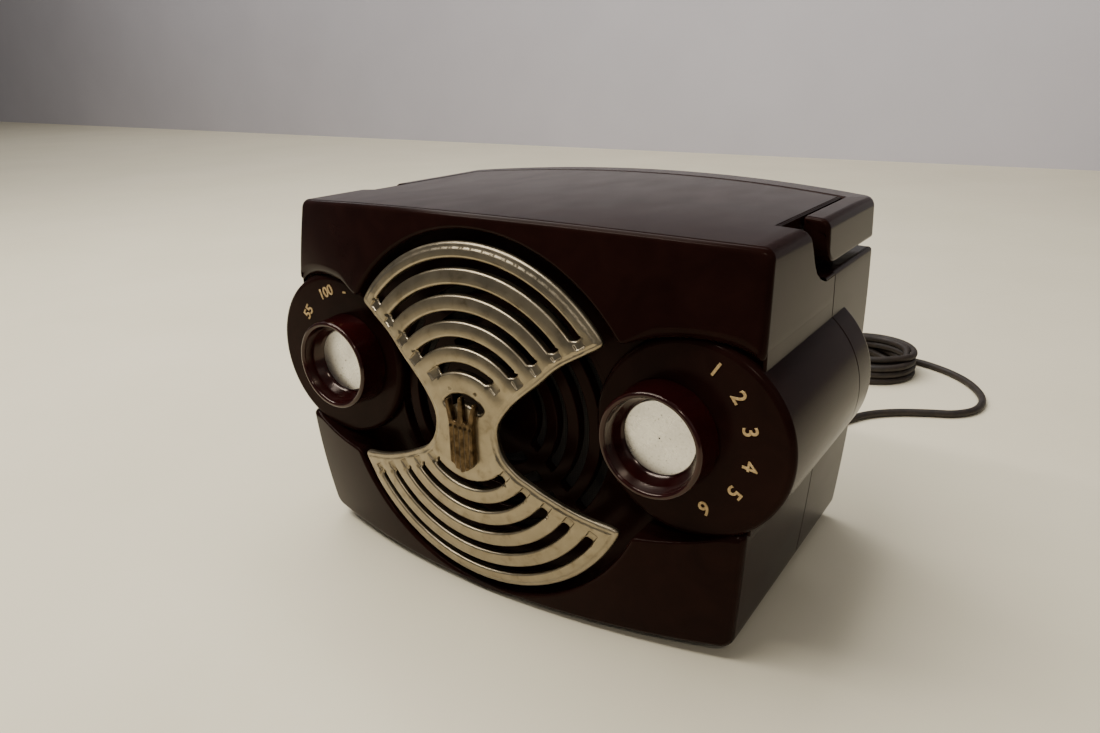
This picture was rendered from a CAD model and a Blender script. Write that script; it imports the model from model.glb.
"""Table radio with a moulded cabinet, an hourglass grille and a carrying handle: its looks.

Lengths are millimetres from the grille's centre, X right, Y back, Z up. world() turns them
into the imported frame's metres.
"""

import math

import bpy
import numpy as np
from mathutils import Matrix, Vector
from mathutils.geometry import delaunay_2d_cdt
from mathutils.kdtree import KDTree

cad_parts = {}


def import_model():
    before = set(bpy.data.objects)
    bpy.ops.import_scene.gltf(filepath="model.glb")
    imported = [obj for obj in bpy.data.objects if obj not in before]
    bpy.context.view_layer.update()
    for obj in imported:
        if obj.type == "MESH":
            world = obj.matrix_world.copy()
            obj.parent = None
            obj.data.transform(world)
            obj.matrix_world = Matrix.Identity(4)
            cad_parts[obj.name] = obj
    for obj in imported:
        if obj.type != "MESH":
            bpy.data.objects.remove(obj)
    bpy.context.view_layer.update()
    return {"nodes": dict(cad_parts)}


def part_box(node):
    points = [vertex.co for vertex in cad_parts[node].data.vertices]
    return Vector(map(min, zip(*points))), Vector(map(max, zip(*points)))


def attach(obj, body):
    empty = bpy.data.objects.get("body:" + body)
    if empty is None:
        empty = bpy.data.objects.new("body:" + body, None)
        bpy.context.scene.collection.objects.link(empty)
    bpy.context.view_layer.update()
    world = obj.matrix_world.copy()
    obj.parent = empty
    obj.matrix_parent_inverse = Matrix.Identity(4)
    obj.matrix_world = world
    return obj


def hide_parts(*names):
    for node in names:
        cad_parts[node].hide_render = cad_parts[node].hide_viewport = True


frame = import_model()

MM = 0.001
UP = Vector((0.0, 0.0, 1.0))
BACK = Vector((0.0, 1.0, 0.0))
SIDES = (-1, 1)

# Cabinet: the CAD's sizes, with finer edges
TOP_Z = 77.5
TOP_DROP = 4.4
BOTTOM_Z = -74.2
BOTTOM_RISE = 4.2
HALF_WIDTH = 105.0
WIDEST_Z = 24.0
SIDE_CURVE = 0.0006
CORNER_TOP = 4.0
CORNER_BOTTOM = 6.0
DOME_TOP_Y = -6.1
DOME_CURVE = 0.0014
REAR_MOST = 149.0
BACK_CURVE = 0.00122
EDGE_ROUND = 3.0
SEAM_Y = 82.0
SEAM_GAP = 0.3
SEAM_ROUND = 0.35
WALL = 3.0
BOSS_X = 82.0
BOSS_Z = 8.8
BOSS_RADIUS = 35.6
BOSS_ROUND = 2.4
BOSS_END_Y = 101.0
BOSS_END_ROUND = 3.2
DIAL_Y = 9.6
WELL_RADIUS = 72.0
RING_Y = 14.0
RING_PITCH = 9.3
FIRST_SLOT = 20.5
RING_SLOT = 4.4
RING_SLOTS = 4
SPEAKER_RADIUS = FIRST_SLOT + (RING_SLOTS - 1) * RING_PITCH + RING_SLOT / 2 + 2.0
SPOKE_WIDTH = 6.0
GRILLE_RADIUS = 68.0
GRILLE_SHEET = 1.6
GRILLE_RISE = 6.8
GRILLE_SLOT = 3.4
OUTER_SLOT = GRILLE_RADIUS - 7.5
FLANGE_STEP = 0.45
FRONT_MOST = -9.4
KNOB_X = 73.6
KNOB_Z = 9.4
ARM_INNER_X = 94.0
ARM_BOTTOM_Z = 57.0
ARM_FRONT_Y = 72.0
NOSE_RADIUS = 9.5
TONGUE_X = 93.2
LEDGE_Z = 53.0
LEDGE_ROUND = 0.8
BAR_DEPTH = 15.0
BAR_GAP = 1.5
VENT_ROWS = 5
VENT_LOWEST_Z = -21.3
VENT_PITCH = (30.0, 13.1)
VENT_HALF_SIZE = (11, 2)

# (y, z) along the front edge of the handle's notch, from the top down
NOTCH = ((47.0, 82.0), (49.5, 74.0), (54.0, 68.0), (57.5, 60.5), (63.0, 54.8), (71.5, 53.0))

# Cord, along the CAD's route
CORD_RADIUS = 2.2
CORD_TABLE_Z = -73.5
COIL_X = 63.0
COIL_Y = 347.0
COIL_INNER = 24.2
COIL_OUTER = 28.6
COIL_TURNS = 7.25
EXIT = (55.0, 167.6, -55.0)
TIE_ANGLE = 262.0
TIE_WIDTH = 6.0

# Degrees in which the cord passes to its next seat, and by which each passing comes sooner
CLIMB = 44.0
CLIMB_LEAD = 22.0

# The frame's origin is on the table, under the middle of the cabinet.
knob_low, knob_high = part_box("volume_knob")
SHIFT = Vector((0.0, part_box("crest_plate")[0][1] / MM - FRONT_MOST,
                (knob_low[2] + knob_high[2]) / (2 * MM) - KNOB_Z))


def world(point):
    """A point in millimetres from the grille's centre, in the frame's metres."""
    return (Vector(point) + SHIFT) * MM


def smooth_line(points, steps):
    """A Catmull-Rom curve through the points, of any number of coordinates."""
    size = len(points[0])
    padded = [points[0]] + list(points) + [points[-1]]
    line = []
    for k in range(len(points) - 1):
        a, b, c, d = padded[k:k + 4]
        for s in range(steps):
            t = s / steps
            line.append(tuple(
                0.5 * (2 * b[i] + (c[i] - a[i]) * t
                       + (2 * a[i] - 5 * b[i] + 4 * c[i] - d[i]) * t * t
                       + (3 * b[i] - a[i] - 3 * c[i] + d[i]) * t ** 3)
                for i in range(size)))
    line.append(tuple(points[-1]))
    return line


def ease(t):
    """0 to 1 with soft ends, clamped."""
    t = max(0.0, min(1.0, t))
    return t * t * (3.0 - 2.0 * t)


def polar(radius, angle, center=(0.0, 0.0)):
    """The point at a distance and an angle in radians from a center."""
    return (center[0] + radius * math.cos(angle), center[1] + radius * math.sin(angle))


def arc(radius, start, end, count, center=(0.0, 0.0)):
    """Points on an arc, in degrees, both ends included."""
    return [polar(radius, math.radians(start + (end - start) * k / (count - 1)), center)
            for k in range(count)]


def mirrored(points):
    """The points on the other side of the middle, in reverse order."""
    return [(-x, z) for x, z in reversed(points)]


def quads(rows, count, closed):
    """Faces between rows of count points, with each row closed on itself or open."""
    faces = []
    for r in range(rows - 1):
        for s in range(count if closed else count - 1):
            t = (s + 1) % count
            faces.append((r * count + s, r * count + t, (r + 1) * count + t, (r + 1) * count + s))
    return faces


def add_mesh(name, corners, faces):
    """A mesh object in the scene, smooth apart from any end caps."""
    mesh = bpy.data.meshes.new(name)
    mesh.from_pydata(corners, [], faces)
    mesh.polygons.foreach_set("use_smooth", [len(face) <= 4 for face in faces])
    made = bpy.data.objects.new(name, mesh)
    bpy.context.scene.collection.objects.link(made)
    return made


# ---- camera and cord

def make_camera():
    yaw = 0.5969
    pitch = 0.3482
    roll = -0.0167
    ahead = Vector((-math.sin(yaw) * math.cos(pitch), math.cos(yaw) * math.cos(pitch),
                    -math.sin(pitch)))
    level = Vector((math.cos(yaw), math.sin(yaw), 0.0))
    over = level.cross(ahead)
    right = level * math.cos(roll) + over * math.sin(roll)
    up = over * math.cos(roll) - level * math.sin(roll)
    data = bpy.data.cameras.new("front_camera")
    data.sensor_width = 36.0
    data.lens = 27.06
    data.clip_start = 0.01
    data.clip_end = 50.0
    camera = bpy.data.objects.new("front_camera", data)
    camera.matrix_world = (Matrix.Translation(world((183.1, -219.0, 124.8)))
                           @ Matrix((right, up, -ahead)).transposed().to_4x4())
    bpy.context.scene.collection.objects.link(camera)
    bpy.context.scene.camera = camera


def coil_points():
    """The wound turns: out, in, up, out and so on through two columns of four layers."""
    seats = [(COIL_OUTER, 0), (COIL_INNER, 0), (COIL_INNER, 1), (COIL_OUTER, 1),
             (COIL_OUTER, 2), (COIL_INNER, 2), (COIL_INNER, 3), (COIL_OUTER, 3)]
    points = []
    steps = 40
    for k in range(int(COIL_TURNS * steps) + 1):
        turned = 360.0 * k / steps
        radius, layer = seats[0]
        for n in range(1, len(seats)):
            middle = 360.0 * n + CLIMB - CLIMB_LEAD * n
            share = ease((turned - middle) / CLIMB + 0.5)
            radius += (seats[n][0] - seats[n - 1][0]) * share
            layer += (seats[n][1] - seats[n - 1][1]) * share
        spot = polar(radius, math.radians(90.0 + turned), (COIL_X, COIL_Y))
        points.append((*spot, CORD_TABLE_Z + 2 * CORD_RADIUS * layer))
    return points


def cord_route():
    table = CORD_TABLE_Z
    run = [EXIT, (55.1, EXIT[1] + 6.0, -55.3), (56.2, 190.0, -61.5), (60.0, 206.0, -69.3),
           (66.0, 222.0, table + 0.4), (71.0, 234.0, table), (77.0, 248.0, table),
           (85.0, 262.0, table), (98.0, 274.0, table), (114.0, 283.0, table),
           (128.0, 290.0, table), (137.0, 302.0, table), (139.0, 318.0, table),
           (135.0, 334.0, table), (126.0, 350.0, table), (113.0, 363.0, table),
           (98.0, 372.0, table), (88.0, 375.0, table), (75.0, 375.6, table)]
    tail = [(34.4, 336.0, -61.0), (34.4, 329.7, -62.6), (34.2, 323.0, -64.8),
            (32.0, 314.3, -67.4), (31.0, 306.3, -68.2)]
    return smooth_line(run, 6) + coil_points() + smooth_line(tail, 6)


def tube_mesh(points, radius, sides=14):
    """A round tube along the points, with its ends closed: vertices and faces."""
    line = [Vector(p) for p in points]
    across = Vector((1.0, 0.0, 0.0))
    corners = []
    for k, point in enumerate(line):
        along = (line[min(k + 1, len(line) - 1)] - line[max(k - 1, 0)]).normalized()
        across = (across - along * across.dot(along)).normalized()
        other = along.cross(across)
        for s in range(sides):
            angle = 2 * math.pi * s / sides
            corners.append(point + (across * math.cos(angle) + other * math.sin(angle)) * radius)
    start = tuple(reversed(range(sides)))
    end = tuple(range(len(corners) - sides, len(corners)))
    return corners, [start] + quads(len(line), sides, True) + [end]


def make_cord():
    points = [world(p) for p in cord_route()]
    cord = add_mesh("mains_cord", *tube_mesh(points, CORD_RADIUS * MM))
    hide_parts("power_cord", "cord_coil", "cord_tail")
    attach(cord, "radio")
    return cord


def make_tie():
    """A strap over the coil that holds its turns together."""
    out = Vector((*polar(1.0, math.radians(TIE_ANGLE)), 0.0))
    along = UP.cross(out)
    wide = 2 * CORD_RADIUS + 0.5
    low = CORD_TABLE_Z - CORD_RADIUS + 0.5
    high = CORD_TABLE_Z + 7 * CORD_RADIUS + 0.5
    half = [(wide - 1.2, low), (wide, low + 1.4), (wide, high - 2.0), (wide - 0.8, high - 0.5),
            (wide - 2.4, high)]
    line = smooth_line(half + mirrored(half), 5)
    middle = (COIL_INNER + COIL_OUTER) / 2
    count = 7
    corners = []
    for away, z in line:
        for step in range(count):
            across = (step / (count - 1) - 0.5) * TIE_WIDTH
            crown = 0.25 * (1 - (2 * across / TIE_WIDTH) ** 2)
            spot = out * (middle + away * (1 + crown / wide)) + along * across
            corners.append(world((COIL_X + spot.x, COIL_Y + spot.y, z)))
    tie = add_mesh("cord_tie", corners, quads(len(line), count, False))
    thick = tie.modifiers.new("thickness", "SOLIDIFY")
    thick.thickness = 0.7 * MM
    thick.offset = 0.0
    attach(tie, "radio")
    return tie


make_camera()
tie = make_tie()
cord = make_cord()


# ---- finishes

class Finish:
    """A node material that varies over the surface in colour, gloss and relief."""

    def __init__(self, name, roughness, metallic=0.0, stretch=(1.0, 1.0, 1.0)):
        self.material = bpy.data.materials.new(name + "_finish")
        self.material.use_nodes = True
        self.tree = self.material.node_tree
        self.shader = self.tree.nodes["Principled BSDF"]
        self.shader.inputs["Metallic"].default_value = metallic
        place = self.tree.nodes.new("ShaderNodeTexCoord").outputs["Object"]
        self.place = self.add("Mapping", {"Scale": stretch}, {"Vector": place}).outputs["Vector"]
        gloss = self.add("MapRange", {"From Min": 0.3, "From Max": 0.7, "To Min": roughness[0],
                                      "To Max": roughness[1]}, {"Value": self.noise(90.0, 3.0)})
        self.tree.links.new(gloss.outputs["Result"], self.shader.inputs["Roughness"])

    def add(self, kind, values, links):
        """A new node, with some inputs set and others joined to the outputs given."""
        node = self.tree.nodes.new("ShaderNode" + kind)
        for socket, value in values.items():
            node.inputs[socket].default_value = value
        for socket, output in links.items():
            self.tree.links.new(output, node.inputs[socket])
        return node

    def noise(self, scale, detail, distortion=0.0):
        return self.add("TexNoise", {"Scale": scale, "Detail": detail, "Distortion": distortion},
                        {"Vector": self.place}).outputs["Fac"]

    def wave(self, kind, axis, scale, distortion):
        """RINGS round an axis or BANDS across it."""
        node = self.add("TexWave", {"Scale": scale, "Distortion": distortion},
                        {"Vector": self.place})
        node.wave_type = kind
        node.rings_direction = axis
        node.bands_direction = axis
        return node.outputs["Fac"]

    def colors(self, value, stops):
        """Colours the surface by a pattern; stops are (place, colour)."""
        ramp = self.add("ValToRGB", {}, {"Fac": value})
        elements = ramp.color_ramp.elements
        while len(elements) < len(stops):
            elements.new(0.5)
        for element, (place, color) in zip(elements, stops):
            element.position = place
            element.color = (*color, 1.0)
        self.tree.links.new(ramp.outputs["Color"], self.shader.inputs["Base Color"])

    def relief(self, value, height):
        bump = self.add("Bump", {"Strength": 0.6, "Distance": height * MM}, {"Height": value})
        self.tree.links.new(bump.outputs["Normal"], self.shader.inputs["Normal"])


def moulded(name, dark, middle, light, roughness, shine):
    """Moulded phenolic resin: a dark body with faint flow marks under a polished skin."""
    made = Finish(name, roughness, stretch=(1.0, 0.45, 1.0))
    made.colors(made.noise(55.0, 7.0, 1.4), [(0.30, dark), (0.55, middle), (0.78, light)])
    made.relief(made.noise(900.0, 3.0), 0.012)
    made.shader.inputs["Specular IOR Level"].default_value = shine
    made.shader.inputs["Specular Tint"].default_value = (1.0, 0.84, 0.74, 1.0)
    return made.material


def plain(name, dark, light, roughness, metallic, grain, height, stretch=(1.0, 1.0, 1.0)):
    """A finish with a fine grain between two colours."""
    made = Finish(name, roughness, metallic, stretch)
    made.colors(made.noise(grain, 5.0), [(0.32, dark), (0.68, light)])
    made.relief(made.noise(grain * 2.5, 3.0), height)
    return made.material


def spun_mirror():
    """Spun and polished aluminium that has begun to speckle."""
    made = Finish("mirror_disc", (0.22, 0.38), 1.0)
    made.colors(made.noise(1100.0, 9.0, 0.5),
                [(0.27, (0.20, 0.19, 0.16)), (0.36, (0.72, 0.70, 0.65)), (0.7, (0.83, 0.81, 0.775))])
    made.relief(made.wave("RINGS", "Y", 900.0, 0.6), 0.006)
    return made.material


def champagne():
    """Pressed metal with a pale gold lacquer, rubbed and slightly dulled."""
    made = Finish("champagne_metal", (0.28, 0.42), 1.0)
    made.colors(made.noise(240.0, 9.0, 0.4),
                [(0.22, (0.19, 0.15, 0.095)), (0.42, (0.295, 0.247, 0.17)), (0.8, (0.36, 0.305, 0.215))])
    made.relief(made.noise(1500.0, 4.0), 0.006)
    return made.material


def woven(name, dark, light, scale):
    """Crossed threads."""
    made = Finish(name, (0.80, 0.95))
    across = [made.wave("BANDS", axis, scale, 0.8) for axis in "XZ"]
    crossed = made.add("Math", {}, dict(enumerate(across)))
    crossed.operation = "MULTIPLY"
    threads = crossed.outputs[0]
    made.colors(threads, [(0.05, dark), (0.6, light)])
    made.relief(threads, 0.15)
    made.shader.inputs["Sheen Weight"].default_value = 0.2
    return made.material


def smoked_glass():
    """The valves' bulbs."""
    made = Finish("tube_glass", (0.03, 0.10))
    made.colors(made.noise(60.0, 4.0), [(0.3, (0.05, 0.05, 0.05)), (0.7, (0.14, 0.14, 0.13))])
    made.shader.inputs["Transmission Weight"].default_value = 0.55
    return made.material


# Slot: dark colour, light colour, roughness, metallic, grain, relief's height, and any stretch
PLAIN_FINISHES = {
    "aged_bronze": ((0.040, 0.025, 0.012), (0.150, 0.100, 0.050), (0.30, 0.50), 1.0, 500.0, 0.03),
    "plated_steel": ((0.20, 0.19, 0.17), (0.46, 0.45, 0.42), (0.30, 0.55), 1.0, 160.0, 0.02),
    "aluminium_can": ((0.50, 0.50, 0.50), (0.72, 0.72, 0.72), (0.28, 0.45), 1.0, 220.0, 0.02,
                      (6.0, 6.0, 0.5)),
    "brass": ((0.36, 0.24, 0.08), (0.66, 0.50, 0.22), (0.25, 0.45), 1.0, 260.0, 0.01),
    "card": ((0.12, 0.07, 0.035), (0.24, 0.15, 0.08), (0.75, 0.92), 0.0, 500.0, 0.08),
    "cone_paper": ((0.035, 0.030, 0.026), (0.07, 0.062, 0.055), (0.85, 0.97), 0.0, 700.0, 0.10),
    "rubber": ((0.012, 0.009, 0.008), (0.030, 0.024, 0.020), (0.50, 0.72), 0.0, 600.0, 0.03),
    "cord_rubber": ((0.009, 0.0055, 0.0040), (0.024, 0.014, 0.009), (0.52, 0.72), 0.0, 350.0, 0.04),
}
FINISHES = {
    "bakelite": moulded("bakelite", (0.0095, 0.0028, 0.0022), (0.0125, 0.0039, 0.0030),
                        (0.0160, 0.0052, 0.0040), (0.19, 0.22), 0.05),
    "knob_bakelite": moulded("knob_bakelite", (0.011, 0.0015, 0.0016), (0.018, 0.0021, 0.0022),
                             (0.028, 0.0032, 0.0030), (0.11, 0.20), 0.45),
    "champagne_metal": champagne(),
    "mirror_disc": spun_mirror(),
    "tube_glass": smoked_glass(),
    "cloth": woven("speaker_cloth", (0.004, 0.003, 0.003), (0.030, 0.022, 0.016), 420.0),
}
FINISHES.update((name, plain(name, *values)) for name, values in PLAIN_FINISHES.items())
GOLD_PAINT = plain("numeral_paint", (0.42, 0.27, 0.11), (0.66, 0.47, 0.22), (0.35, 0.55),
                   0.0, 900.0, 0.01)
cord.data.materials.append(FINISHES["cord_rubber"])
tie.data.materials.append(FINISHES["rubber"])


# ---- surfaces

class Surface:
    """Points with their normals, and the faces between them."""

    def __init__(self):
        self.points = []
        self.normals = []
        self.faces = []

    def add(self, point, normal):
        self.points.append(Vector(point))
        self.normals.append(Vector(normal).normalized())
        return len(self.points) - 1

    def face(self, corners):
        """Adds a face, turned to agree with its corners' normals."""
        a, b, c = (self.points[k] for k in corners[:3])
        d = self.points[corners[-1]]
        flat = (c - a).cross(d - b) if len(corners) == 4 else (b - a).cross(c - a)
        if flat.length < 1e-7:
            return
        mean = sum((self.normals[k] for k in corners), Vector())
        self.faces.append(list(corners) if flat.dot(mean) > 0 else list(reversed(corners)))

    def grid(self, columns, closed=False):
        """Joins neighbouring columns of (point, normal), all of one length."""
        made = [[self.add(*item) for item in column] for column in columns]
        others = made[1:] + made[:1] if closed else made[1:]
        for here, there in zip(made, others):
            for k in range(len(here) - 1):
                self.face((here[k], there[k], there[k + 1], here[k + 1]))

    def turn(self, profile, center, segments):
        """A surface of revolution about Y through center, from (radius, y) points."""
        spans = [Vector((y0 - y1, r1 - r0)) for (r0, y0), (r1, y1) in zip(profile, profile[1:])]
        for k, span in enumerate(spans):
            near = span.normalized()
            ends = []
            for other in (spans[max(k - 1, 0)], spans[min(k + 1, len(spans) - 1)]):
                meets = near.dot(other.normalized()) > math.cos(math.radians(40))
                weight = other.length_squared / (other.length_squared + span.length_squared)
                ends.append(near.lerp(other.normalized(), weight).normalized() if meets else near)
            columns = []
            for s in range(segments):
                ca, sa = polar(1.0, 2 * math.pi * s / segments)
                columns.append([(Vector((center[0] + radius * ca, y, center[1] + radius * sa)),
                                 Vector((normal.x * ca, normal.y, normal.x * sa)))
                                for (radius, y), normal in zip(profile[k:k + 2], ends)])
            self.grid(columns, closed=True)

    def build(self, name, material_slot, stands_for, body="radio"):
        """Makes the piece that is shown in place of the CAD node stands_for."""
        obj = add_mesh(name, [world(p) for p in self.points], self.faces)
        obj.data.materials.append(FINISHES[material_slot])
        obj.data.normals_split_custom_set_from_vertices(self.normals)
        obj.data.update()
        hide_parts(stands_for)
        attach(obj, body)


def fillet(edge, first, second, radius, steps=5):
    """Points and normals of the rounding between two faces that meet at edge."""
    center = edge - (first + second) * (radius / (1.0 + first.dot(second)))
    normals = [first.slerp(second, k / steps) for k in range(steps + 1)]
    return [(center + normal * radius, normal) for normal in normals]


def resample(points, spacing):
    """The same open line with evenly spaced points."""
    gaps = [math.dist(a, b) for a, b in zip(points, points[1:])]
    count = max(2, round(sum(gaps) / spacing))
    step = sum(gaps) / count
    line = [points[0]]
    travelled = 0.0
    k = 0
    for n in range(1, count):
        while travelled + gaps[k] < n * step:
            travelled += gaps[k]
            k += 1
        t = (n * step - travelled) / gaps[k]
        line.append(tuple(a + (b - a) * t for a, b in zip(points[k], points[k + 1])))
    return line + [points[-1]]


def relax(points, passes, closed=False):
    """Rounds a line's corners by averaging; an open line keeps its ends."""
    line = [Vector(p) for p in points]
    for _ in range(passes):
        eased = [p * 0.5 + (line[k - 1] + line[(k + 1) % len(line)]) * 0.25
                 for k, p in enumerate(line)]
        if not closed:
            eased[0] = line[0]
            eased[-1] = line[-1]
        line = eased
    return [tuple(p) for p in line]


def closed_loop(points, spacing, passes):
    """The points as a closed line, evenly spaced, with its corners rounded."""
    return relax(resample(points + points[:1], spacing)[:-1], passes, closed=True)


def loop_area(loop):
    return sum(x0 * z1 - x1 * z0 for (x0, z0), (x1, z1) in zip(loop, loop[1:] + loop[:1])) / 2


def loop_normals(loop):
    """Normals that point right of the way round: out of an anticlockwise loop."""
    normals = []
    for k, here in enumerate(loop):
        before = (Vector(here) - Vector(loop[k - 1])).normalized()
        after = (Vector(loop[(k + 1) % len(loop)]) - Vector(here)).normalized()
        along = (before + after).normalized()
        normals.append(Vector((along.y, 0.0, -along.x)))
    return normals


def face_normal(height, x, z, facing):
    """The normal of the surface y = height(x, z) on its front (-1) or back (1) side."""
    step = 0.05
    dx = (height(x + step, z) - height(x - step, z)) / (2 * step)
    dz = (height(x, z + step) - height(x, z - step)) / (2 * step)
    return Vector((-dx, 1.0, -dz)).normalized() * facing


def within(loop, points):
    """Which of the points lie inside a closed loop, as an array of booleans."""
    x = points[:, 0]
    z = points[:, 1]
    hit = np.zeros(len(points), bool)
    for (x1, z1), (x2, z2) in zip(loop, loop[1:] + loop[:1]):
        if z1 == z2:
            continue
        crosses = (z1 > z) != (z2 > z)
        hit ^= crosses & (x < (x2 - x1) * (z - z1) / (z2 - z1) + x1)
    return hit


def between(loops, points):
    """Which of the points lie inside the first loop and outside the others."""
    keep = within(loops[0], points)
    for loop in loops[1:]:
        keep &= ~within(loop, points)
    return keep


def lattice(low, high, spacing):
    """Points of a triangular lattice over a rectangle."""
    rows = int((high[1] - low[1]) / (spacing * 0.87)) + 1
    columns = int((high[0] - low[0]) / spacing) + 1
    return [(low[0] + spacing * (c + 0.5 * (r % 2)), low[1] + spacing * 0.87 * r)
            for r in range(rows) for c in range(columns)]


def fill(surface, rims, height, facing, inner=()):
    """Triangulates between rims of (point, normal), with inner points on the surface."""
    loops = [[(p.x, p.z) for p, _ in rim] for rim in rims]
    flat = []
    edges = []
    for loop in loops:
        first = len(flat)
        flat += [Vector(p) for p in loop]
        edges += [(first + k, first + (k + 1) % len(loop)) for k in range(len(loop))]
    exact = [item for rim in rims for item in rim]
    if len(inner):
        spots = np.array(inner, float)
        flat += [Vector(p) for p in spots[between(loops, spots)]]
    made, _, faces, origins, _, _ = delaunay_2d_cdt(flat, edges, [], 1, 0.00001)
    middles = np.array([[sum(made[k][i] for k in face) / len(face) for i in (0, 1)]
                        for face in faces])
    places = []
    for point, origin in zip(made, origins):
        known = [k for k in origin if k < len(exact)]
        x, z = point
        place = exact[known[0]][0] if known else (x, height(x, z), z)
        places.append(surface.add(place, face_normal(height, x, z, facing)))
    for face, kept in zip(faces, between(loops, middles)):
        if kept:
            surface.face([places[k] for k in face])


def sheet(surface, loops, height, facing, radii, inner=(), steps=5):
    """A sheet on y = height(x, z) with rounded edges. Returns where each edge's wall starts."""
    rims = []
    starts = []
    for n, (loop, radius) in enumerate(zip(loops, radii)):
        if (loop_area(loop) > 0) != (n == 0):
            loop = list(reversed(loop))
        sections = []
        for (x, z), wall in zip(loop, loop_normals(loop)):
            size = radius(x, z) if callable(radius) else radius
            face = face_normal(height, x, z, facing)
            sections.append(fillet(Vector((x, height(x, z), z)), wall, face, size, steps))
        surface.grid(sections, closed=True)
        rims.append([section[-1] for section in sections])
        starts.append([section[0] for section in sections])
    fill(surface, rims, height, facing, inner)
    return starts


def walls(surface, starts, end):
    """Walls straight along Y from an edge's rounding to y = end(x, z)."""
    columns = []
    for point, normal in starts:
        reach = end(point.x, point.z) if callable(end) else end
        columns.append([(point, normal), (Vector((point.x, reach, point.z)), normal)])
    surface.grid(columns, closed=True)


# ---- cabinet shape

def side_x(z):
    return HALF_WIDTH - SIDE_CURVE * (z - WIDEST_Z) ** 2


def top_z(x):
    return TOP_Z - TOP_DROP * (x / HALF_WIDTH) ** 2


def bottom_z(x):
    return BOTTOM_Z + BOTTOM_RISE * (x / HALF_WIDTH) ** 2


def front_y(x, z):
    return DOME_TOP_Y + DOME_CURVE * (x * x + z * z)


def back_y(x, z=0.0):
    return REAR_MOST - BACK_CURVE * x * x


def bar_y(x):
    """Where the cabinet's top ends, ahead of the handle's bar."""
    return back_y(x) - BAR_DEPTH - BAR_GAP


def corner(level, way, radius, steps=8):
    """The rounding between the side and the top (way 1) or the bottom (way -1)."""
    center = Vector((HALF_WIDTH - radius, level(HALF_WIDTH)))
    for _ in range(12):
        z = center.y
        side = Vector((1.0, 2 * SIDE_CURVE * (z - WIDEST_Z))).normalized()
        slope = (level(center.x + 0.1) - level(center.x - 0.1)) / 0.2
        flat = Vector((-slope, 1.0)).normalized() * way
        center.x = side_x(z + radius * side.y) - radius * side.x
        center.y = level(center.x + radius * flat.x) - radius * flat.y
    return [tuple(center + side.slerp(flat, k / steps) * radius) for k in range(steps + 1)]


def half_outline():
    """The right half of the cabinet's outline, from the bottom's middle to the top's."""
    upper = corner(top_z, 1, CORNER_TOP)
    lower = list(reversed(corner(bottom_z, -1, CORNER_BOTTOM)))
    line = [(lower[0][0] * k / 14, bottom_z(lower[0][0] * k / 14)) for k in range(14)]
    line += lower
    heights = [lower[-1][1] + (upper[0][1] - lower[-1][1]) * k / 44 for k in range(1, 44)]
    heights = sorted(heights + [LEDGE_Z - LEDGE_ROUND])
    line += [(side_x(z), z) for z in heights]
    line += upper
    edge = TONGUE_X - LEDGE_ROUND
    places = sorted([upper[-1][0] * k / 22 for k in range(22)] + [edge], reverse=True)
    return line + [(x, top_z(x)) for x in places]


def recess_half(upper):
    """The recess's edge above or below, from the middle to the cabinet's right side."""
    if upper:
        line = smooth_line([(54.0, 38.6), (66.0, 41.8), (75.0, 43.4), (86.0, 43.6), (97.0, 41.6),
                            (106.0, 37.6), (125.0, 27.0)], 8)
    else:
        line = smooth_line([(58.0, -29.4), (73.0, -28.2), (84.0, -26.3), (94.0, -23.4),
                            (106.0, -19.4), (125.0, -14.0)], 8)
    line = [p for p in line if math.hypot(*p) > WELL_RADIUS + 0.3]
    start = math.degrees(math.atan2(line[0][1], line[0][0]))
    round_part = arc(WELL_RADIUS, 90.0 if upper else -90.0, start, 50)
    whole = relax(resample(round_part + line, 1.1), 3)
    return [p for p in whole if p[0] < side_x(p[1])]


def bend(first, middle, last, count=4):
    """Points between first and last, rounding the corner at middle."""
    return [tuple(a * (1 - t) ** 2 + 2 * b * t * (1 - t) + c * t * t
                  for a, b, c in zip(first, middle, last))
            for t in (k / count for k in range(1, count))]


def joined(first, second, corners):
    """One loop of two lines, with a rounded corner wherever they meet."""
    loop = first + bend(first[-1], corners[0], second[0]) + second
    return loop + bend(second[-1], corners[1], first[0])


HALF = half_outline()
RECESS_TOP = recess_half(True)
RECESS_LOW = recess_half(False)
CORNER_CUT = 2.0


def panel_loop(upper):
    """A front panel's outline, and how many of its first points lie on the cabinet's outline."""
    recess = RECESS_TOP if upper else RECESS_LOW
    meet = recess[-1]
    opposite = (-meet[0], meet[1])
    cut = [p for p in recess if p[0] < meet[0] - CORNER_CUT]
    if upper:
        right = [p for p in HALF if p[1] > meet[1] + CORNER_CUT]
        outer = right + mirrored(right)[1:]
        across = mirrored(cut) + cut[1:]
        corners = (opposite, meet)
    else:
        right = [p for p in HALF if p[1] < meet[1] - CORNER_CUT]
        outer = mirrored(right) + right[1:]
        across = list(reversed(cut)) + [(-x, z) for x, z in cut[1:]]
        corners = (meet, opposite)
    return joined(outer, across, corners), len(outer)


def panel_radius(upper):
    """How round a front panel's edge is: broad above the dials and crisp below them."""
    at_dial = 4.6 if upper else 0.9

    def radius(x, z):
        off_side = side_x(z) - abs(x)
        off_well = math.hypot(x, z) > WELL_RADIUS + 2.0
        on_side = abs(x) > 100.0 and off_side < 0.5
        if on_side or (z > 60.0 and off_well) or z < -60.0:
            return EDGE_ROUND if off_well else 1.4
        size = 1.5 + (at_dial - 1.5) * ease((abs(x) - 61.0) / 12.0)
        return EDGE_ROUND + (size - EDGE_ROUND) * ease((off_side - 1.0) / 8.0)
    return radius


NOTCH_LINE = smooth_line(list(NOTCH), 8)


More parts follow.
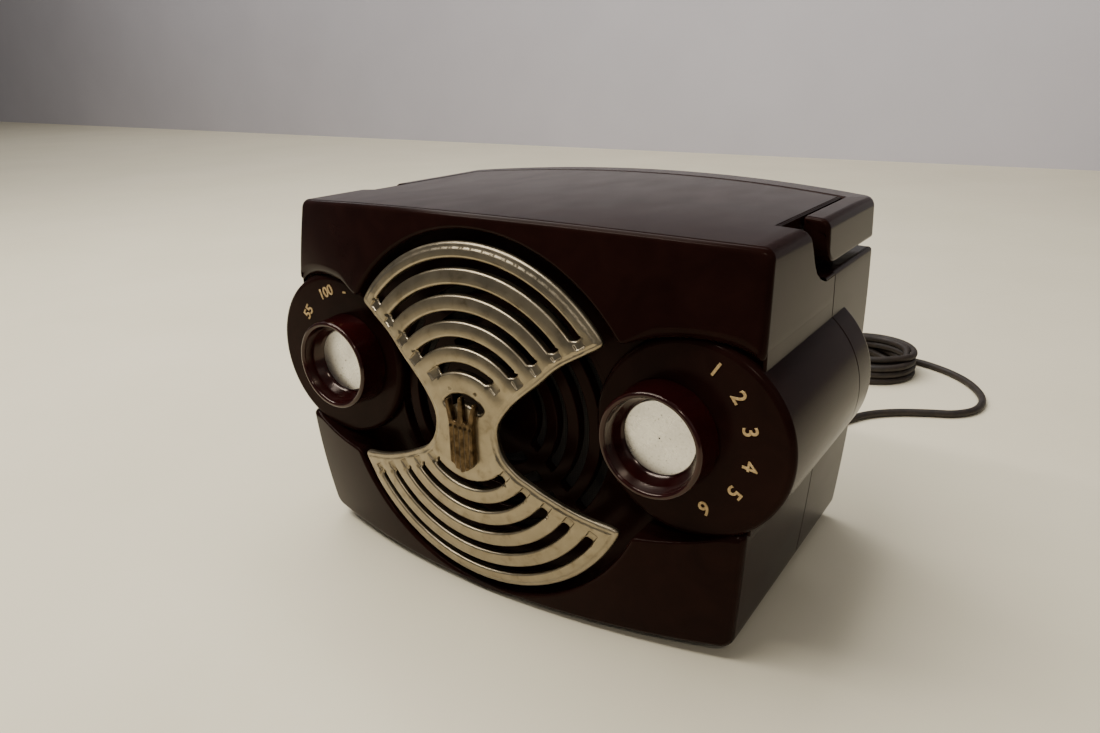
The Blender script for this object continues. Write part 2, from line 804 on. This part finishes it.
def notch_y(z):
    """Where the notch for the handle's nose starts at a height."""
    if z <= NOTCH_LINE[-1][1]:
        return NOTCH_LINE[-1][0]
    for (y0, z0), (y1, z1) in zip(NOTCH_LINE, NOTCH_LINE[1:]):
        if z1 <= z <= z0:
            return y0 + (y1 - y0) * (z0 - z) / max(z0 - z1, 1e-6)
    return NOTCH_LINE[0][0]


def notch_normal(z):
    slope = (notch_y(z + 0.4) - notch_y(max(z - 0.4, LEDGE_Z))) / 0.8
    return Vector((0.0, 1.0, -slope)).normalized()


def skin(surface, starts, end, end_normal, radius, target):
    """Cabinet wall from the front edge's rounding back to y = end(point), rounded there too.

    Behind that rounding, where the normal is end_normal(point), it goes on to a target.
    """
    columns = []
    for point, normal in starts:
        edge = Vector((point.x, end(point), point.z))
        turn_to = end_normal(point)
        rounding = fillet(edge, normal, turn_to, radius, 4)
        columns.append([(point, normal)] + rounding + [(target(rounding[-1][0], normal), turn_to)])
    surface.grid(columns)


def seam_end(surface, starts):
    """Cabinet wall back to the seam, and in by the wall's thickness."""
    skin(surface, starts, lambda p: SEAM_Y, lambda p: BACK, SEAM_ROUND, lambda p, n: p - n * WALL)


def index_near(starts, place):
    """Which (point, normal) has its point nearest a place (x, z)."""
    return min(range(len(starts)),
               key=lambda k: math.dist((starts[k][0].x, starts[k][0].z), place))


def front_skins(surface, starts, count):
    """The upper panel's share of the cabinet's sides and top, with the handle's notches."""
    outer = starts[:count]
    top = top_z(TONGUE_X)
    places = [(side_x(LEDGE_Z), LEDGE_Z - LEDGE_ROUND), (TONGUE_X - LEDGE_ROUND, top)]
    marks = [0] + [index_near(outer, p) for p in places + mirrored(places)] + [count - 1]
    pieces = [outer[a:b + 1] for a, b in zip(marks, marks[1:])]
    seam_end(surface, pieces[0])
    seam_end(surface, pieces[4])
    for piece in (pieces[1], pieces[3]):
        side = 1 if piece[0][0].x > 0 else -1
        skin(surface, piece, lambda p: notch_y(p.z), lambda p: notch_normal(p.z), LEDGE_ROUND,
             lambda p, n: Vector((side * TONGUE_X, p.y, p.z)))
    skin(surface, pieces[2], lambda p: bar_y(p.x), lambda p: BACK, 1.0,
         lambda p, n: Vector((p.x, p.y, LEDGE_Z)))
    for side in SIDES:
        out = Vector((side, 0.0, 0.0))
        slope = Vector((side * 2 * TOP_DROP * TONGUE_X / HALF_WIDTH ** 2, 0.0, 1.0)).normalized()
        columns = []
        for y in (notch_y(top), bar_y(TONGUE_X)):
            rounding = fillet(Vector((side * TONGUE_X, y, top)), slope, out, LEDGE_ROUND)
            columns.append(rounding + [(Vector((side * TONGUE_X, y, LEDGE_Z)), out)])
        surface.grid(columns)
        columns = []
        for y in (NOTCH[-1][0], SEAM_Y):
            rounding = fillet(Vector((side * side_x(LEDGE_Z), y, LEDGE_Z)), out, UP, LEDGE_ROUND)
            columns.append(rounding + [(Vector((side * TONGUE_X, y, LEDGE_Z)), UP)])
        surface.grid(columns)


def side_band(surface, low, high):
    """The cabinet's sides between the two front panels, behind the recess."""
    for side in SIDES:
        columns = []
        for k in range(25):
            z = low + (high - low) * k / 24
            out = Vector((side, 0.0, 2 * SIDE_CURVE * (z - WIDEST_Z))).normalized()
            front = fillet(Vector((side * side_x(z), RING_Y - 1.0, z)), -BACK, out, 1.0)
            back = fillet(Vector((side * side_x(z), SEAM_Y, z)), out, BACK, SEAM_ROUND)
            columns.append(front + back + [(back[-1][0] - out * WALL, BACK)])
        surface.grid(columns)


def flat_floor(x, z):
    return RING_Y


def ring_bars(surface):
    """The flat bars between the speaker's slots, joined by four straight spokes."""
    half = SPOKE_WIDTH / 2
    loops = [arc(SPEAKER_RADIUS, 0.0, 357.5, 144)]
    for k in range(RING_SLOTS):
        inner = FIRST_SLOT + RING_PITCH * k - RING_SLOT / 2
        outer = inner + RING_SLOT
        for quarter in range(4):
            middle = 90.0 * quarter
            far = 45.0 - math.degrees(math.asin(half / outer))
            near = 45.0 - math.degrees(math.asin(half / inner))
            slot = arc(outer, middle - far, middle + far, 24)
            slot += arc(inner, middle + near, middle - near, 24)
            loops.append(closed_loop(slot, 1.0, 1))
    starts = sheet(surface, loops, flat_floor, -1, [0.05] + [0.45] * (len(loops) - 1), (), 3)
    for edge in starts[1:]:
        walls(surface, edge, RING_Y + 4.0)


def recess_floor(surface):
    """The floor of the recess, with a round opening for the speaker."""
    top = mirrored(RECESS_TOP) + RECESS_TOP[1:]
    low = list(reversed(RECESS_LOW)) + [(-x, z) for x, z in RECESS_LOW[1:]]
    outer = list(reversed(top)) + list(reversed(low))
    hole = arc(SPEAKER_RADIUS, 0.0, 357.5, 144)
    sheet(surface, [outer, hole], flat_floor, -1, [0.05, 0.05])


def build_front():
    surface = Surface()
    joins = []
    for upper in (True, False):
        loop, count = panel_loop(upper)
        joins.append(loop[0][1])
        low, high = (30.0, 80.0) if upper else (-80.0, -10.0)
        starts = sheet(surface, [loop], front_y, -1, [panel_radius(upper)],
                       lattice((-110.0, low), (110.0, high), 6.0), 7)[0]
        if upper:
            front_skins(surface, starts, count)
        else:
            seam_end(surface, starts[:count])
        recess = starts[count - 1:] + starts[:1]
        columns = [[(p, n), (Vector((p.x, RING_Y + 0.5, p.z)), n)] for p, n in recess]
        surface.grid(columns)
    side_band(surface, joins[1], joins[0])
    recess_floor(surface)
    ring_bars(surface)
    profile = [(0.5, DIAL_Y), (20.0, DIAL_Y)]
    profile += arc(BOSS_ROUND, -90.0, 0.0, 7, (BOSS_RADIUS - BOSS_ROUND, DIAL_Y + BOSS_ROUND))
    profile += [(BOSS_RADIUS, SEAM_Y - SEAM_ROUND), (BOSS_RADIUS - 0.1, SEAM_Y - 0.1),
                (BOSS_RADIUS - SEAM_ROUND, SEAM_Y), (BOSS_RADIUS - WALL, SEAM_Y)]
    for side in SIDES:
        surface.turn(profile, (side * BOSS_X, BOSS_Z), 160)
    surface.build("cabinet_front", "bakelite", "front_shell")


def vent_loops():
    """Rounded slots in the back, five to a row."""
    wide, high = VENT_HALF_SIZE
    loops = []
    for row in range(VENT_ROWS):
        for column in range(-2, 3):
            x = column * VENT_PITCH[0]
            z = VENT_LOWEST_Z + row * VENT_PITCH[1]
            box = [(x + a * wide, z + b * high) for a, b in ((-1, -1), (1, -1), (1, 1), (-1, 1))]
            loops.append(closed_loop(box, 0.8, 3))
    return loops


def build_rear():
    surface = Surface()
    inset = 1.5
    meet = (side_x(LEDGE_Z), LEDGE_Z)
    right = [p for p in HALF if p[1] < LEDGE_Z - inset]
    across = [(meet[0] - inset - k * (2 * meet[0] - 2 * inset) / 24, LEDGE_Z) for k in range(25)]
    loop = joined(mirrored(right) + right[1:], across, (meet, (-meet[0], meet[1])))
    vents = vent_loops()
    starts = sheet(surface, [loop] + vents, back_y, 1, [EDGE_ROUND] + [0.9] * len(vents),
                   lattice((-105.0, -75.0), (105.0, 53.0), 9.0), 4)
    front = SEAM_Y + SEAM_GAP
    columns = []
    for point, normal in starts[0]:
        rounding = fillet(Vector((point.x, front, point.z)), normal, -BACK, SEAM_ROUND, 3)
        columns.append([(point, normal)] + rounding + [(rounding[-1][0] - normal * WALL, -BACK)])
    surface.grid(columns, closed=True)
    for vent in starts[1:]:
        walls(surface, vent, lambda x, z: back_y(x) - WALL - EDGE_ROUND)
    profile = [(BOSS_RADIUS - WALL, front), (BOSS_RADIUS - SEAM_ROUND, front),
               (BOSS_RADIUS - 0.1, front + 0.1), (BOSS_RADIUS, front + SEAM_ROUND)]
    profile += arc(BOSS_END_ROUND, 0.0, 90.0, 7,
                   (BOSS_RADIUS - BOSS_END_ROUND, BOSS_END_Y - BOSS_END_ROUND))
    profile.append((18.0, BOSS_END_Y))
    for side in SIDES:
        surface.turn(profile[::-1], (side * BOSS_X, BOSS_Z), 160)
    surface.build("cabinet_rear", "bakelite", "rear_shell")


# ---- handle

HANDLE_ROUND = 1.3
BAR_ROUND = 2.6
ARM_MIDDLE_Z = 66.0
PLAN_ROUND = 4.5
NOSE_CAP = 1.6


def handle_stations():
    """The right half of the handle, from its nose to the middle of the bar.

    Each station is (inner point, outer point, way out, bottom, underside's normal, top's rounding).
    """
    stations = []
    outer_x = side_x(ARM_MIDDLE_Z)
    for k in range(10):
        angle = math.radians(10.0 * k)
        y = ARM_FRONT_Y + NOSE_RADIUS * (1 - math.cos(angle))
        bottom = ARM_BOTTOM_Z + NOSE_RADIUS * (1 - math.sin(angle))
        nose = Vector((0.0, -math.cos(angle), -math.sin(angle)))
        stations.append(((ARM_INNER_X, y), (outer_x, y), (1.0, 0.0), bottom, nose, CORNER_TOP))
    for y in (92.0, 104.0, 116.0):
        stations.append(((ARM_INNER_X, y), (outer_x, y), (1.0, 0.0), ARM_BOTTOM_Z, -UP, CORNER_TOP))
    inner = (ARM_INNER_X, back_y(ARM_INNER_X) - BAR_DEPTH)
    center = (outer_x - PLAN_ROUND, back_y(outer_x - PLAN_ROUND) - PLAN_ROUND)
    for k in range(8):
        angle = math.radians(90.0 * k / 7)
        size = CORNER_TOP + (BAR_ROUND - CORNER_TOP) * k / 7
        stations.append((inner, polar(PLAN_ROUND, angle, center), polar(1.0, angle), ARM_BOTTOM_Z,
                         -UP, size))
    for k in range(13):
        x = (ARM_INNER_X - 4.0) * (1 - k / 12)
        out = Vector((2 * BACK_CURVE * x, 1.0)).normalized()
        stations.append(((x, back_y(x) - BAR_DEPTH), (x, back_y(x)), tuple(out), ARM_BOTTOM_Z,
                         -UP, BAR_ROUND))
    return stations


def handle_section(station):
    """The closed column of (point, normal) round the handle at one station."""
    inner, outer, out, bottom, under, size = station
    width = math.dist(inner, outer)
    ends = [Vector((0.0, 0.0, bottom)), Vector((0.0, 0.0, top_z(inner[0]))),
            Vector((width, 0.0, top_z(outer[0]))), Vector((width, 0.0, bottom))]
    tilt = math.radians(90.0)
    inset = 0.0
    depth = inner[1] - ARM_FRONT_Y
    if depth < NOSE_CAP:
        tilt = math.acos(1.0 - depth / NOSE_CAP)
        inset = NOSE_CAP * (1.0 - math.sin(tilt))
    column = []
    for k, radius in enumerate((HANDLE_ROUND, HANDLE_ROUND, size, HANDLE_ROUND)):
        before = ends[k] - ends[k - 1]
        after = ends[(k + 1) % 4] - ends[k]
        first = Vector((-before.z, 0.0, before.x)).normalized()
        second = Vector((-after.z, 0.0, after.x)).normalized()
        for point, normal in fillet(ends[k], first, second, radius, 6):
            point = point - normal * inset
            share = point.x / width
            taper = (side_x(point.z) - side_x(ARM_MIDDLE_Z)) * out[0] * share
            x = inner[0] + (outer[0] - inner[0]) * share + taper
            y = inner[1] + (outer[1] - inner[1]) * share
            facing = Vector((out[0], out[1], 0.0)) * normal.x
            facing += UP * max(normal.z, 0.0) + under * max(-normal.z, 0.0)
            facing = facing.normalized() * math.sin(tilt) - BACK * math.cos(tilt)
            column.append((Vector((x, y, point.z)), facing))
    return column


def build_handle():
    surface = Surface()
    right = [handle_section(s) for s in handle_stations()]
    left = [[(Vector((-p.x, p.y, p.z)), Vector((-n.x, n.y, n.z))) for p, n in column]
            for column in reversed(right)]
    surface.grid([column + column[:1] for column in right + left[1:]])
    for column in (right[0], left[-1]):
        middle = sum((p for p, _ in column), Vector()) / len(column)
        hub = surface.add(middle, -BACK)
        rim = [surface.add(p, -BACK) for p, _ in column]
        for a, b in zip(rim, rim[1:] + rim[:1]):
            surface.face((a, b, hub))
    surface.build("handle_shape", "bakelite", "carrying_handle", "handle")


# ---- grille and plaque

# Degrees round the grille: where each fan's bars and slots start and end, from the neck out
FAN_SPANS = ((42.0, 138.0), (215.0, 325.0))
UPPER_SPANS = ((58, 122), (47, 133), (45, 135), (43, 137), (41.5, 138.5))
LOWER_SPANS = ((228, 312), (222, 318), (218.5, 321.5), (216, 324), (214, 326))


def fan_slots():
    """(radius, width, start, end) of the slots in the two fans, in degrees."""
    return [(OUTER_SLOT - RING_PITCH * (4 - k), GRILLE_SLOT, *span)
            for k in range(5) for span in (UPPER_SPANS[k], LOWER_SPANS[k])]


FAN_SLOTS = fan_slots()
NECK_SLOT = (11.4, 3.6, 42.0, 138.0)
NECK_RADIUS = 16.0
BAR_CROWN = 0.36
RAMP_DEPTH = 1.3
RAMP_LENGTH = 4.5


def hourglass():
    """The grille's outline: two fans joined by two curved waists."""
    upper = [(14.3, 2.0), (19.6, 11.2), (25.3, 17.0), (32.5, 23.3), (39.8, 30.1), (55.6, 39.2)]
    lower = [(62.3, -27.4), (46.0, -24.0), (28.0, -16.6), (17.4, -9.4), (14.3, 2.0)]
    waist = smooth_line(lower + upper[1:], 6)
    over = arc(GRILLE_RADIUS, 35.2, 144.8, 90)
    under = arc(GRILLE_RADIUS, 203.8, 336.2, 110)
    return closed_loop(waist[1:-1] + over + mirrored(waist)[1:-1] + under, 1.3, 5)


HOURGLASS = hourglass()


def border_tree():
    """The grille's outline, ready to be searched for its nearest point."""
    line = resample(HOURGLASS + HOURGLASS[:1], 0.4)
    tree = KDTree(len(line))
    for k, (x, z) in enumerate(line):
        tree.insert((x, 0.0, z), k)
    tree.balance()
    return tree


BORDER = border_tree()


def grille_dome(x, z):
    return GRILLE_RISE * ((x * x + z * z) / GRILLE_RADIUS ** 2 - 1)


def grille_y(x, z):
    """The grille's dome, with a crown on each bar and a short ramp past each slot's end."""
    distance = math.hypot(x, z)
    inward = BORDER.find((x, 0.0, z))[2]
    y = grille_dome(x, z) + FLANGE_STEP * (1.0 - ease((inward - 1.5) / 1.2))
    if distance < NECK_RADIUS:
        return y
    angle = math.degrees(math.atan2(z, x)) % 360.0
    start, end = FAN_SPANS[0] if angle < 180.0 else FAN_SPANS[1]
    off = min(angle - start, end - angle) * math.radians(1.0) * distance
    crown = ease(off / 6.0 + 0.8) * BAR_CROWN
    phase = ((distance - OUTER_SLOT) / RING_PITCH) % 1.0
    y -= crown * math.sin(math.pi * phase) ** 2
    for radius, width, start, end in FAN_SLOTS:
        across = abs(distance - radius)
        if across > width / 2 + 0.3:
            continue
        beyond = max(start - angle, angle - end) * math.radians(1.0) * radius
        if -1.0 < beyond < RAMP_LENGTH:
            side = ease((width / 2 + 0.3 - across) / 0.5) * ease((inward - 2.2) / 0.8)
            fade = 1.0 - max(0.0, beyond) / RAMP_LENGTH
            y += RAMP_DEPTH * side * ease(fade * 7.0) * (0.3 + 0.7 * fade)
    return y


def grille_rim_round(x, z):
    """How round the grille's own edge is."""
    return 1.4 if math.hypot(x, z) > 60.0 else 1.0


def slot_loop(radius, width, start, end):
    whole = arc(radius + width / 2, start, end, 40) + arc(radius - width / 2, end, start, 40)
    return closed_loop(whole, 0.9, 2)


def grille_points():
    """Points on circles, close enough together to carry the bars' relief."""
    points = []
    for k in range(46):
        radius = 17.0 + 1.1 * k
        count = int(2 * math.pi * radius / 1.7)
        points += [polar(radius, 2 * math.pi * s / count) for s in range(count)]
    for radius, width, start, end in FAN_SLOTS:
        for edge, way in ((start, -1), (end, 1)):
            for step in range(10):
                angle = math.radians(edge) + way * (1.0 + 0.42 * step) / radius
                points += [polar(radius + row * 0.44, angle) for row in range(-5, 6)]
    points += lattice((-16.0, -20.0), (16.0, 22.0), 2.0)
    normals = loop_normals(HOURGLASS)
    for step in range(6):
        depth = 1.3 + 0.28 * step
        points += [(x - n.x * depth, z - n.z * depth) for (x, z), n in zip(HOURGLASS, normals)]
    return points


def build_grille():
    surface = Surface()
    slots = [slot_loop(*slot) for slot in [NECK_SLOT] + FAN_SLOTS]
    starts = sheet(surface, [HOURGLASS] + slots, grille_y, -1,
                   [grille_rim_round] + [1.15] * len(slots), grille_points())
    for edge in starts:
        walls(surface, edge, lambda x, z: min(grille_dome(x, z) + GRILLE_SHEET + 1.0, 2.0))
    surface.build("grille_shape", "champagne_metal", "hourglass_grille")


def plaque_y(x, z):
    """A plain fluted plaque with a fan of three ribs at its top."""
    if z > 1.8:
        return FRONT_MOST + 0.55 + 0.03 * (z - 1.8)
    return FRONT_MOST + 0.55 - 0.5 * math.cos(x * math.pi / 2.3) ** 2 * ease((1.8 - z) / 1.2)


def build_plaque():
    surface = Surface()
    right = [(0.0, -17.2), (3.4, -15.4), (5.4, -12.8), (5.4, 1.4), (7.2, 10.6), (5.7, 11.4),
             (3.2, 3.0), (1.4, 3.0), (0.9, 12.4), (0.0, 13.0)]
    loop = closed_loop(right + mirrored(right)[1:-1], 0.45, 2)
    edge = sheet(surface, [loop], plaque_y, -1, [0.42],
                 lattice((-7.0, -17.0), (7.0, 13.0), 0.5), 4)[0]
    walls(surface, edge, -GRILLE_RISE + 0.2)
    surface.build("plaque_shape", "aged_bronze", "crest_plate")


# ---- knobs and dials

def build_knob(side, label):
    """A cup-shaped knob and its disc, as (radius, y) outlines turned about the knob's middle."""
    center = (side * KNOB_X, KNOB_Z)
    surface = Surface()
    profile = [(5.0, 9.3), (19.0, 9.3), (19.4, 8.9), (19.1, 6.0), (18.85, 3.0), (18.7, 0.2)]
    profile += arc(1.1, 0.0, -180.0, 16, (17.6, -1.9))
    profile += [(16.4, -0.6), (16.2, 1.0), (15.7, 2.4), (14.4, 4.5), (13.9, 5.1), (13.5, 5.5),
                (13.4, 6.9), (0.5, 6.9)]
    surface.turn(profile[::-1], center, 128)
    surface.build(label + "_knob_shape", "knob_bakelite", label + "_knob", label)
    disc = Surface()
    disc.turn([(0.3, 5.30), (12.9, 5.34), (13.15, 5.40), (13.3, 5.54), (13.3, 6.6)], center, 128)
    disc.build(label + "_disc_shape", "mirror_disc", label + "_knob_disc", label)


def numeral(text, name, side, away, size):
    """A raised painted figure on a dial, with its top toward the dial's rim.

    away is its place from the knob's middle, as shares of the grille's radius.
    """
    x, z = (GRILLE_RADIUS * share for share in away)
    data = bpy.data.curves.new(name, "FONT")
    data.body = text
    data.size = size * MM * 1.35
    data.align_x = data.align_y = "CENTER"
    data.extrude = 0.10 * MM
    data.bevel_depth = 0.08 * MM
    data.bevel_resolution = 2
    data.offset = 0.03 * MM
    data.materials.append(GOLD_PAINT)
    obj = bpy.data.objects.new(name, data)
    place = world((side * KNOB_X + x, DIAL_Y - 0.12, KNOB_Z + z))
    obj.matrix_world = (Matrix.Translation(place)
                        @ Matrix.Rotation(math.radians(90.0), 4, "X")
                        @ Matrix.Rotation(math.atan2(z, x) - math.radians(90.0), 4, "Z"))
    bpy.context.scene.collection.objects.link(obj)
    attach(obj, "radio")


def build_numerals():
    right = ((0.243, 0.379), (0.361, 0.266), (0.425, 0.110), (0.435, -0.065), (0.369, -0.217),
             (0.222, -0.343))
    for k, away in enumerate(right):
        numeral(str(k + 1), "volume_figure_%d" % (k + 1), 1, away, 5.4)
    left = (("55", (-0.369, 0.243)), ("100", (-0.187, 0.394)), ("-", (-0.021, 0.425)))
    for k, (text, away) in enumerate(left):
        numeral(text, "tuning_figure_%d" % (k + 1), -1, away, 4.6)


build_front()
build_rear()
build_handle()
build_grille()
build_plaque()
build_knob(-1, "tuning")
build_knob(1, "volume")
build_numerals()

for node in frame["nodes"].values():
    for place in node.material_slots:
        kind = place.material.name.split(".")[0]
        if kind in FINISHES:
            place.material = FINISHES[kind]


# ---- stage, in metres

def staged(name, corners, low, high):
    """A flat surface of the room, mottled between two colours."""
    made = Finish(name, (0.55, 0.75))
    made.colors(made.noise(6.0, 3.0), [(0.3, low), (0.7, high)])
    obj = add_mesh(name, corners, [(0, 1, 2, 3)])
    obj.data.materials.append(made.material)


def soft_light(name, place, aim, size, power, color):
    data = bpy.data.lights.new(name, "AREA")
    data.shape = "RECTANGLE"
    data.size, data.size_y = size
    data.energy = power
    data.color = color
    lamp = bpy.data.objects.new(name, data)
    lamp.location = place
    lamp.rotation_euler = (Vector(aim) - Vector(place)).to_track_quat("-Z", "Y").to_euler()
    bpy.context.scene.collection.objects.link(lamp)


staged("floor", [(-9, -0.40, 0), (4, -0.40, 0), (4, 4, 0), (-9, 4, 0)],
       (0.795, 0.725, 0.545), (0.84, 0.767, 0.585))
staged("wall", [(-9, 1.6, 0), (4, 1.6, 0), (4, 1.6, 0.55), (-9, 1.6, 0.55)],
       (0.565, 0.543, 0.583), (0.59, 0.568, 0.608))
soft_light("top_light", (-0.50, -0.06, 1.20), (-0.14, -0.04, 0.0), (1.3, 1.0), 18.5, (1.0, 0.97, 0.90))
soft_light("side_light", (1.3, -0.5, 0.8), (0.0, 0.05, 0.08), (0.7, 0.5), 0.5, (1.0, 0.93, 0.86))
soft_light("key_light", (0.52, -0.72, 0.78), (0.0, -0.05, 0.08), (0.10, 0.10), 1.3, (1.0, 0.92, 0.80))
soft_light("edge_light", (-0.5, -0.5, 1.09), (-0.5, -0.08, 0.15), (1.2, 0.05), 7.0, (1.0, 0.95, 0.87))
soft_light("wall_light", (-1.2, 0.8, 1.4), (-1.0, 1.7, 0.15), (3.6, 0.5), 20.5, (1.0, 0.98, 0.97))

room = bpy.data.worlds.new("room")
room.use_nodes = True
room.node_tree.nodes["Background"].inputs["Color"].default_value = (0.80, 0.79, 0.80, 1.0)
room.node_tree.nodes["Background"].inputs["Strength"].default_value = 0.19
bpy.context.scene.world = room
